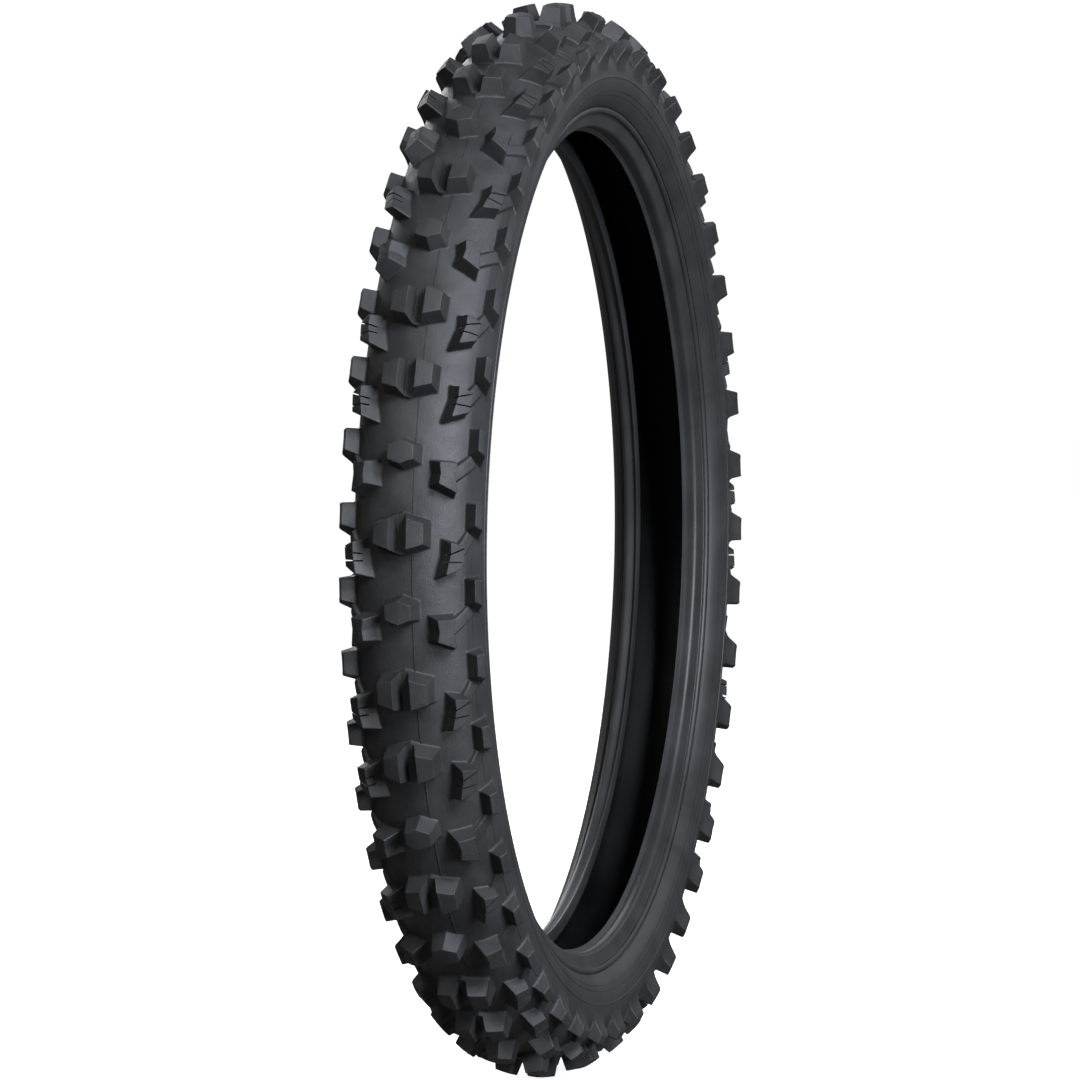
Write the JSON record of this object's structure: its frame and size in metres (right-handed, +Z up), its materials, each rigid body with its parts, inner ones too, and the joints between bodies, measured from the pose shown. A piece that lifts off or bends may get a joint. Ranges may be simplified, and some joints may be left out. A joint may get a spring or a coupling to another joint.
{
  "type": "off-road motorcycle front tyre",
  "caption": "Bare knobby off-road front tyre for a narrow 21 inch spoked wheel, with block tread, thin sidewalls, wire beads and an open cavity for an inner tube",
  "frame": {"origin": "wheel centre, on the wheel axis, in the tyre's centre plane", "axes": "+Y along the wheel axis to the left side, +Z up, +X to the back; the tyre stands upright"},
  "size_m": [0.6912, 0.09, 0.6916],
  "materials": {
    "tread_rubber": "matt moulded rubber",
    "sidewall_rubber": "satin moulded rubber",
    "liner_rubber": "smooth dark liner",
    "nylon_ply": "rubberised nylon cord",
    "filler_rubber": "hard rubber",
    "bead_steel": "bronze coated wire"
  },
  "bodies": {
    "root": {"bead_core_wrap_left": "filler_rubber", "bead_core_wrap_right": "filler_rubber", "bead_filler_left": "filler_rubber", "bead_filler_right": "filler_rubber", "bead_wires_left": "bead_steel", "bead_wires_right": "bead_steel", "breaker_ply": "nylon_ply", "casing_ply_inner": "nylon_ply", "casing_ply_outer": "nylon_ply", "centre_hex_knobs": "tread_rubber", "centre_split_knobs": "tread_rubber", "chafer_strip_left": "nylon_ply", "chafer_strip_right": "nylon_ply", "inner_liner": "liner_rubber", "intermediate_siped_knobs_left": "tread_rubber", "intermediate_siped_knobs_right": "tread_rubber", "intermediate_solid_knobs_left": "tread_rubber", "intermediate_solid_knobs_right": "tread_rubber", "shoulder_knobs_left": "tread_rubber", "shoulder_knobs_right": "tread_rubber", "sidewall_left": "sidewall_rubber", "sidewall_right": "sidewall_rubber", "tie_bars_left": "tread_rubber", "tie_bars_right": "tread_rubber", "tread_base": "tread_rubber"}
  },
  "joints": []
}
